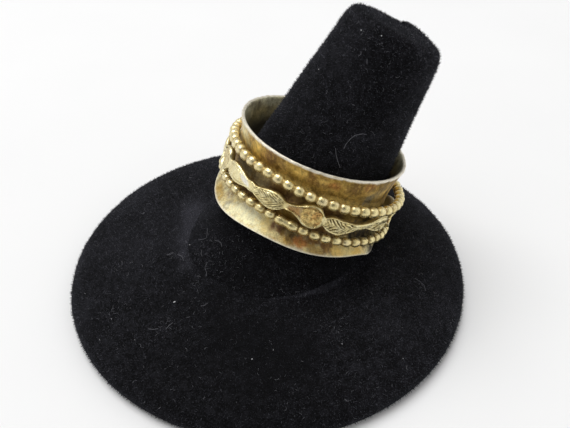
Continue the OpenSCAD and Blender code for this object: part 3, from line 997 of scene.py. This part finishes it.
def paint_beads(mesh, joined, seed):
    """Dark recesses at the necks between the beads, and pale gold on them, with painted light on the left,
    where the necks are less dark, and painted shade on each bead's underside.
    """
    points, turn = points_and_turns(mesh)
    out = np.hypot(np.hypot(points[:, 0], points[:, 1]) - HOOP_R, points[:, 2])
    if joined:
        out = out + BEAD_R * hill(turn, JOIN_TURN, 3.0)
    recess = 1 - ease(out, NECK_R * 0.95, NECK_R * 1.35)
    patchy = cloud(points, 1.6, seed=seed)
    # Painted shade: each bead is more gold and brown towards its underside
    underside_shade = 1 - ease(points[:, 2], -BEAD_R, 0.4 * BEAD_R)
    # Painted light on the left side: paler beads with less dark necks
    lit_side = hill(turn, *LIT_SIDE_BEADS)
    keep_tone(mesh, laid(
        all_over("pale gold", len(points)),
        ("champagne", 0.4 + patchy),
        ("silver", ease(patchy, 0.15, 0.6) * 0.3),
        ("gold", 0.1 + 0.3 * underside_shade),
        ("brown", 0.25 * underside_shade * ease(patchy, -0.4, 0.4)),
        ("ochre", recess * (0.6 - 0.3 * lit_side)),
        ("umber", ease(recess, 0.4, 1.0) * (0.7 if joined else 0.4) * (1 - 0.5 * lit_side)),
        ("silver", 0.2 * lit_side * (1 - recess)),
    ))
    keep_numbers(mesh, polish=lit_side, recess=recess)


def stray(mesh, rows, joined):
    """Fills the notch at a hoop's solder join, and lets the hoop stray a little from its plane."""
    points, turn = points_and_turns(mesh)
    if joined:
        reach = np.hypot(points[:, 0], points[:, 1])
        out = np.maximum(np.hypot(reach - HOOP_R, points[:, 2]), 0.05)
        fuller = np.maximum(1, 0.84 * BEAD_R * hill(turn, JOIN_TURN, 2.6) / out)
        points[:, :2] *= ((HOOP_R + (reach - HOOP_R) * fuller) / reach)[:, None]
        points[:, 2] *= fuller
    at, shift = np.array(rows).T
    points[:, 2] += np.interp(turn, at, shift)
    place_points(mesh, points)


def strip_at(share):
    """Smoothed half width, shoulder height and middle height at these shares of a group's turn."""
    fine = np.linspace(0, 1, 1500, endpoint=False)
    reach, spread = 30, 9
    weights = np.exp(-0.5 * (np.arange(-reach, reach + 1) / spread) ** 2)
    found = []
    for column in (1, 2, 3):
        values = np.interp(fine, LEAF_ROWS[:, 0], LEAF_ROWS[:, column])
        values = np.concatenate([values[-reach:], values, values[:reach]])
        values = np.convolve(values, weights / weights.sum(), "valid")
        found.append(np.interp(share, fine, values, period=1))
    return found


class LeafStrip:
    """The strip of leaves, medallions, balls and stems. Its front is a grid, with a row for each section
    along the strip and a column for each step across it."""

    def __init__(self):
        self.turn = np.linspace(0, 360, STRIP_SECTIONS, endpoint=False)[:, None]
        group_turn = 360 / LEAF_GROUPS
        self.group = self.turn // group_turn
        self.share = self.spaced(self.turn % group_turn / group_turn)
        self.half, shoulder, middle = strip_at(self.share)
        # The joint between the two leaves of group 2 is thicker
        self.half = self.half + (self.group == 2) * 0.25 * hill(self.share, 0.46, 0.035)
        side = np.linspace(-1, 1, STRIP_STEPS)[None]
        self.across, self.near = self.half * side, np.abs(side)
        self.along = self.share * GROUP_LENGTH + 0 * side
        self.height = middle + (shoulder - middle) * ease(self.near, 0.5, 0.82)
        self.height = self.height - 0.14 * ease(self.near, 0.88, 1.0)
        self.recess = 0.7 * ease(self.near, 0.93, 1.0) + 0 * self.height
        self.rough = self.speckle(0.9, 3, 2.0)
        self.height = self.height + 0.02 * self.rough

    def spaced(self, share):
        """Shifts the shares, as the leaves of the two groups in front aren't quite evenly spaced."""
        share = share + (self.group == 3) * (0.024 * between(share, (0.10, 0.19), (0.36, 0.46))
                                             - 0.05 * between(share, (0.44, 0.54), (0.82, 0.92)))
        return share + (self.group == 2) * 0.022 * between(share, (0.06, 0.14), (0.78, 0.88))

    def speckle(self, size, octaves, seed):
        """Soft noise over the front, each group with its own."""
        spots = np.stack([self.along, self.across, self.group * 20 + 0 * self.across], -1)
        return cloud(spots.reshape(-1, 3), size, octaves, seed).reshape(self.across.shape)

    def carve_leaves(self):
        """Slanting veins, a rib between them and a raised border. One leaf has coarse veins on one side."""
        worn = 0.35 + 0.65 * ease(self.speckle(0.7, 2, 12.0), -0.25, 0.15)
        steep = VEIN_SLANT * (1 + 0.7 * (self.group == 2))
        inner = 1 - ease(self.near, 0.7, 0.8)
        for number, (start, end) in enumerate(LEAF_SPANS):
            inside = between(self.share, (start, start + 0.03), (end - 0.03, end))
            depth = worn * [[VEIN_DEPTHS.get((group, number), VEIN_DEPTH)] for group in self.group[:, 0]]
            coarse = (self.group == 3) * (number == 1)
            step, width = VEIN_STEP * (1 + 1.3 * coarse), VEIN_WIDTH * (1 + 1.7 * coarse)
            slant = self.along + steep * np.abs(self.across) + 0.24 * self.rough + 0.16 * np.sign(self.across)
            away = np.abs((slant / step) % 1 - 0.5) * step / np.hypot(1, steep)
            groove = hill(away, 0, width) * ease(np.abs(self.across), 0.04, 0.13) * inner
            groove = groove * (1 - 0.8 * coarse * (self.across > 0))
            groove = np.maximum(groove, 0.6 * hill(self.across, 0, 0.05) * inner)
            border = 0.07 * hill((self.near - 0.87) * self.half, 0, 0.1)
            self.height = self.height - depth * groove * inside + border * inside
            self.recess = np.maximum(self.recess, groove * inside * np.clip(depth / VEIN_DEPTH, 0, 1.2))

    def raise_medallions(self):
        """A rosette of seven petals on each medallion, with a scalloped border."""
        middle_of = (self.share - np.round(self.share)) * GROUP_LENGTH
        out, around = np.hypot(middle_of, self.across), np.arctan2(self.across, middle_of)
        grain = self.speckle(0.22, 2, 4.0)
        self.disc = 1 - ease(out, *ROSETTE_EDGE)
        petals = 0.07 * np.cos(7 * around + 0.6) * hill(out, 0.72, 0.3) + 0.10 * hill(out, 0, 0.26)
        self.height = self.height + self.disc * (petals + 0.07 * grain - 0.04)
        self.height = self.height + 0.07 * hill(out, 1.46 + 0.03 * np.cos(9 * around), 0.10)
        self.recess = np.maximum(self.recess, self.disc * ease(grain - 4 * petals, -0.1, 0.5) * 0.5)

    def raise_balls(self):
        """Balls at the leaves' ends, where they aren't worn away."""
        bald = np.isin(self.group, BALD_GROUPS)
        for share, across, radius in LEAF_BALLS:
            apart = ((self.share - share + 0.5) % 1 - 0.5) * GROUP_LENGTH
            bulge = radius ** 2 - apart ** 2 - (self.across - across) ** 2
            ball = 0.24 + np.sqrt(np.maximum(bulge, 0))
            self.height = np.where((bulge > 0) & ~bald, np.maximum(self.height, ball), self.height)

    def edge_stems(self):
        """Raised edges along the stem before each medallion."""
        stem = between(self.share, (0.80, 0.83), (0.965, 0.985))
        edge = 0.09 * hill((self.near - 0.84) * self.half, 0, 0.09)
        self.height = self.height + edge * stem * (1 - self.disc)
        self.stem = stem * (1 - ease(self.near, 0.55, 0.8)) * (1 - self.disc)

    def skin(self):
        """The closed skin with its flat back, drifting up and down its hoop."""
        across = np.concatenate([self.across, self.half * STRIP_BACK[:, 0]], 1)
        height = np.concatenate([self.height, 0 * self.half - STRIP_BACK[:, 1]], 1)
        shift = np.interp(self.turn, *np.array(LEAF_DRIFT).T, period=360)
        rings = polar(HOOP_R + height, np.radians(self.turn), across + shift)
        return skin_over("leaf_strip", rings, closed=True)

    def whole(self, values, rest):
        """These values for the points of the front, and rest for those of the back."""
        back = np.full((STRIP_SECTIONS, len(STRIP_BACK)), rest)
        return np.concatenate([values + 0 * self.height, back], 1).ravel()

    def paint(self, mesh):
        """Pale gold with painted light on the left, brown stems and medallions, dark grooves and one painted
        highlight.
        """
        recess, rough = self.whole(self.recess, 0.7), self.whole(self.rough, 0.0)
        # Painted light on the left side: paler, with stems and medallions less brown
        lit_side = self.whole(hill(self.turn, *LIT_SIDE_LEAVES), 0.0)
        stem = self.whole(self.stem, 0.0) * (1 - 0.85 * lit_side)
        disc = self.whole(self.disc, 0.0) * (1 - 0.8 * lit_side)
        # A painted highlight in silver on one leaf of group 2
        along, across, length, wide = PAINTED_HIGHLIGHT
        past = self.along - along
        highlight = 1 - ease(np.hypot(past / length, (self.across - across + 0.3 * past) / wide), 0.5, 1.1)
        highlight = self.whole(highlight * (self.group == 2), 0.0)
        keep_tone(mesh, laid(
            all_over("pale gold", len(recess)),
            ("champagne", 0.45 + rough),
            ("silver", highlight),
            ("brown", stem * 0.75),
            ("orange", stem * ease(rough, -0.1, 0.5) * 0.25),
            ("gold", disc * 0.7),
            ("orange", disc * (0.12 + 0.4 * ease(rough, -0.1, 0.5))),
            ("umber", recess * 0.85),
            ("silver", 0.2 * lit_side * (1 - recess)),
        ))
        keep_numbers(mesh, polish=np.maximum(lit_side, highlight), recess=recess)


def leaf_mesh():
    """The strip, carved, raised and painted."""
    strip = LeafStrip()
    strip.carve_leaves()
    strip.raise_medallions()
    strip.raise_balls()
    strip.edge_stems()
    mesh = strip.skin()
    strip.paint(mesh)
    return mesh


# Finishes

def finish(name):
    """A new material, its nodes, its shader, and the place of each point on its object."""
    material = bpy.data.materials.new(name)
    material.use_nodes = True
    nodes = Nodes(material.node_tree)
    shader = material.node_tree.nodes["Principled BSDF"]
    return material, nodes, shader, nodes.add("ShaderNodeTexCoord")["Object"]


def gilt(name, metallic, smoothest, roughest, mark, stained, dull=0.0):
    """Worn gilding: its tone from the metal's own points, with stains and pits, duller and darker in the
    recesses. A lining is less of a mirror by dull."""
    material, nodes, shader, place = finish(name)
    mottled = nodes.noise(place, 1300.0, 4.0, 0.6)
    fine = nodes.noise(place, 5200.0, 3.0, 0.65)
    pits = nodes.fit(nodes.noise(place, 2600.0, 2.0, 0.5), 0.60, 0.74)
    mixed = nodes.total(nodes.times(mottled, 0.55), nodes.times(fine, 0.45))
    # Less stained where the metal is polished or painted light: worn rims, pale stains, the painted highlight
    # and the painted lit side of the hoops
    stains = nodes.fit(nodes.painted("polish"), 0.0, 1.0, stained, 0.3 * stained)
    shade = nodes.fit(mixed, 0.38, 0.60, nodes.minus(1.0, stains), 1.08)
    grey = nodes.vector(shade, nodes.power(shade, 1.1), nodes.power(shade, 1.25))
    colour = nodes.blend(1.0, nodes.painted("tone", "Color"), grey, "MULTIPLY")
    rough = nodes.fit(mottled, 0.3, 0.7, smoothest, roughest)
    nodes.feed(shader, {
        "Base Color": nodes.blend(nodes.times(pits, stains), colour, (*TONES["umber"], 1)),
        "Metallic": metallic,
        "Roughness": nodes.total(rough, nodes.times(nodes.painted("recess"), 0.25)),
        "Normal": nodes.bump(mark, 0.00008, nodes.total(nodes.times(mottled, 1.2), fine)),
    })
    if dull:
        lined = nodes.fit(nodes.painted("lining"), 0.0, 1.0, metallic, metallic - dull)
        nodes.feed(shader, {"Metallic": lined})
    return material


def velvet(name, shades, sheen):
    """Black flock: fine grain, brushing and crushed patches with painted light and shade, a few paler
    fibres, and a cool sheen.
    """
    material, nodes, shader, place = finish(name)
    grain, crushed = nodes.noise(place, 4400.0, 2.0, 0.6), nodes.noise(place, 1100.0, 3.0, 0.6)
    brushed = nodes.painted("brushed")
    pale = nodes.times(nodes.power(nodes.painted("shade"), 7.0), 0.9)
    share = nodes.total(nodes.fit(grain, 0.46, 0.68, 0.0, 0.36), nodes.fit(brushed, 0.4, 2.9, 0.0, 0.85),
                        nodes.fit(crushed, 0.44, 0.64, 0.0, 0.24), pale)
    # Low values darken the cloth: painted shade over the dome's front, the post's tip and its foot
    share = nodes.times(share, nodes.fit(brushed, -0.6, 0.4, 0.35, 1.0))
    nodes.feed(shader, {
        "Base Color": nodes.shaded(share, shades), "Roughness": 0.9,
        "Specular IOR Level": 0.05, "Sheen Weight": sheen, "Sheen Roughness": 0.4,
        "Sheen Tint": (0.58, 0.62, 0.78, 1), "Normal": nodes.bump(0.6, 0.0002, grain),
    })
    return material


def lint_fibre(name, shades, steep=1.0):
    """Dust and fluff: the steeper, the fewer the pale fibres."""
    material, nodes, shader, place = finish(name)
    mottled = nodes.fit(nodes.noise(place, 900.0, 2.0), 0.3, 0.7, 0.7, 1.0)
    share = nodes.times(nodes.power(nodes.painted("shade"), steep), mottled)
    nodes.feed(shader, {
        "Base Color": nodes.shaded(share, shades), "Roughness": 0.8, "Specular IOR Level": 0.2,
    })
    return material


def floor_finish(name):
    """A pale matt surface, softly uneven."""
    material, nodes, shader, place = finish(name)
    colour = nodes.shaded(nodes.noise(place, 30.0, 2.0), FLOOR_SHADES)
    nodes.feed(shader, {"Base Color": colour, "Roughness": 0.7})
    return material


# Building

def settle(obj, turn=Matrix.Identity(4)):
    """Brings a mesh from its own millimetres to its place in metres."""
    obj.data.transform(Matrix.Scale(MM, 4) @ turn)
    obj.data.update()
    return obj


def dress(obj, body, slot, *nodes):
    """Says which body the piece rides on, and hides the nodes that it replaces. The slot is not used."""
    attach(obj, body)
    if nodes:
        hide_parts(*nodes)


def lay_threads(name, lines, thickness, fibre):
    """Threads along these lines of points."""
    points = [point for line in lines for point in line]
    ends = np.cumsum([0] + [len(line) for line in lines])
    steps = [(j, j + 1) for start, end in zip(ends[:-1], ends[1:]) for j in range(start, end - 1)]
    values = {"Thickness": thickness, "Finish": fibre}
    dress(settle(grow(name, thread_tree(), values, mesh_of(name, points, [], steps))), "root", "velvet")


def build_stand():
    """The velvet base and post, with their pile, fluff, stray hairs and specks of dust."""
    cloth = velvet("black_velvet", CLOTH_SHADES, sheen=0.05)
    scatter = scatter_tree()
    coats = (
        ("_pile", 0, {
            "Shape": spike_shape(), "Where": "pile", "Per area": 13.0, "Smallest": (0.03, 0.03, 0.18),
            "Largest": (0.05, 0.05, 0.42), "Tip": 0.7, "Cells": 210.0,
            "Finish": velvet("velvet_fibre", FLOCK_SHADES, sheen=0.07),
        }),
        ("_fluff", 1, {
            "Shape": curl_shape(), "Where": "lint", "Per area": 7.0, "Smallest": (0.09, 0.09, 0.09),
            "Largest": (0.36, 0.36, 0.36), "Tip": 0.6, "Cells": 90.0,
            "Finish": lint_fibre("pale_dust", FLUFF_SHADES, steep=2.2),
        }),
    )
    base, post = linked("velvet_base", base_mesh()), linked("velvet_post", post_mesh())
    for name, node, skin, seed in (("base", "stand_base", base, 11), ("post", "stand_post", post, 23)):
        for coat, later, values in coats:
            fibres = grow(name + coat, scatter, {**values, "Seed": seed + later}, skin.data.copy())
            dress(settle(fibres), "root", "velvet")
        skin.data.materials.append(cloth)
        dress(settle(skin), "root", "velvet", node)
    hairs = [[on_post(along, turn, HAIRS_OUT) for along, turn in row] for row in POST_HAIRS]
    hairs += [[on_dome(x, y, HAIRS_OUT) for x, y in row] for row in DOME_HAIRS]
    lay_threads("stray_hairs", hairs, HAIR_THICKNESS, lint_fibre("pale_hair", HAIR_SHADES))
    specks = [(on_dome(x, y, DUST_OUT), size) for x, y, size in DOME_DUST]
    specks += [(on_post(along, turn, DUST_OUT), size) for along, turn, size in POST_DUST]
    specks = [[at + Vector((side * size, 0.3 * side * size, 0)) for side in (-1, 1)] for at, size in specks]
    lay_threads("dust_specks", specks, DUST_THICKNESS, lint_fibre("white_dust", DUST_SHADES))


def build_ring():
    """The band and its three hoops."""
    band_gilt = gilt("worn_gilt_band", metallic=0.88, smoothest=0.32, roughest=0.52, mark=0.7, stained=0.42,
                     dull=0.6)
    hoop_gilt = gilt("worn_gilt_hoops", metallic=0.95, smoothest=0.2, roughest=0.36, mark=0.42, stained=0.22)
    band = grow("hammered_band", band_tree(), {
        "Sides": 480, "Waist radius": WAIST_R, "Upper rim radius": UPPER_RIM_R,
        "Lower rim radius": LOWER_RIM_R, "Depth": BAND_DEPTH, "Wall": WALL, "Hammering": 0.022, "Nicks": 0.04,
        "Finish": band_gilt,
    }, mesh_of("band_section", band_section(), []))
    paint_band(band.data)
    dress(settle(band, band_frame()), "root", "gilt_band", "band")
    beads = bead_hoop_tree()
    for name, body, node, place, drift, count, join, height, length, seed in (
        ("upper_beads", "upper_hoop", "upper_bead_hoop", UPPER_PLACE, UPPER_DRIFT, UPPER_BEADS, -1,
         1.02, 1.11, 5),
        ("lower_beads", "lower_hoop", "lower_bead_hoop", LOWER_PLACE, LOWER_DRIFT, LOWER_BEADS, JOIN_BEAD,
         0.93, 1.14, 8),
    ):
        hoop = grow(name, beads, {
            "Beads": count, "Hoop radius": HOOP_R, "Bead radius": BEAD_R, "Bead height": height,
            "Bead length": length, "Neck radius": NECK_R, "Join": join, "Unevenness": 0.035, "Seed": seed,
            "Finish": hoop_gilt,
        }, bpy.data.meshes.new(name))
        paint_beads(hoop.data, join >= 0, float(seed))
        stray(hoop.data, drift, join >= 0)
        dress(settle(hoop, hoop_frame(place)), body, "gilt_hoops", node)
    leaves = linked("leaf_strip", leaf_mesh())
    leaves.data.materials.append(hoop_gilt)
    dress(settle(leaves, hoop_frame(LEAF_PLACE)), "middle_hoop", "gilt_hoops", "leaf_hoop")


def build_studio():
    """A pale floor inside a white tent, under one softbox."""
    corners = [(-3, -3, 0), (3, -3, 0), (3, 3, 0), (-3, 3, 0)]
    floor = linked("floor", mesh_of("floor", corners, [(0, 1, 2, 3)]))
    floor.data.materials.append(floor_finish("pale_floor"))
    add_softbox("overhead", SOFTBOX_AT, Vector((0, 0, 0.01)), size=1.0, power=SOFTBOX_POWER)
    world = bpy.data.worlds.new("studio")
    world.use_nodes = True
    scene.world = world
    nodes = Nodes(world.node_tree)
    way = nodes.add("ShaderNodeTexCoord")["Generated"]

    def towards(direction):
        inputs = {0: way, 1: Vector(direction).normalized()}
        return nodes.add("ShaderNodeVectorMath", inputs, operation="DOT_PRODUCT")["Value"]

    strength = nodes.total(*[nodes.fit(towards(direction), *change) for direction, *change in TENT_LIGHT])
    nodes.feed(world.node_tree.nodes["Background"], {"Strength": strength, "Color": (1, 1, 1, 1)})


add_camera()
build_studio()
build_stand()
build_ring()
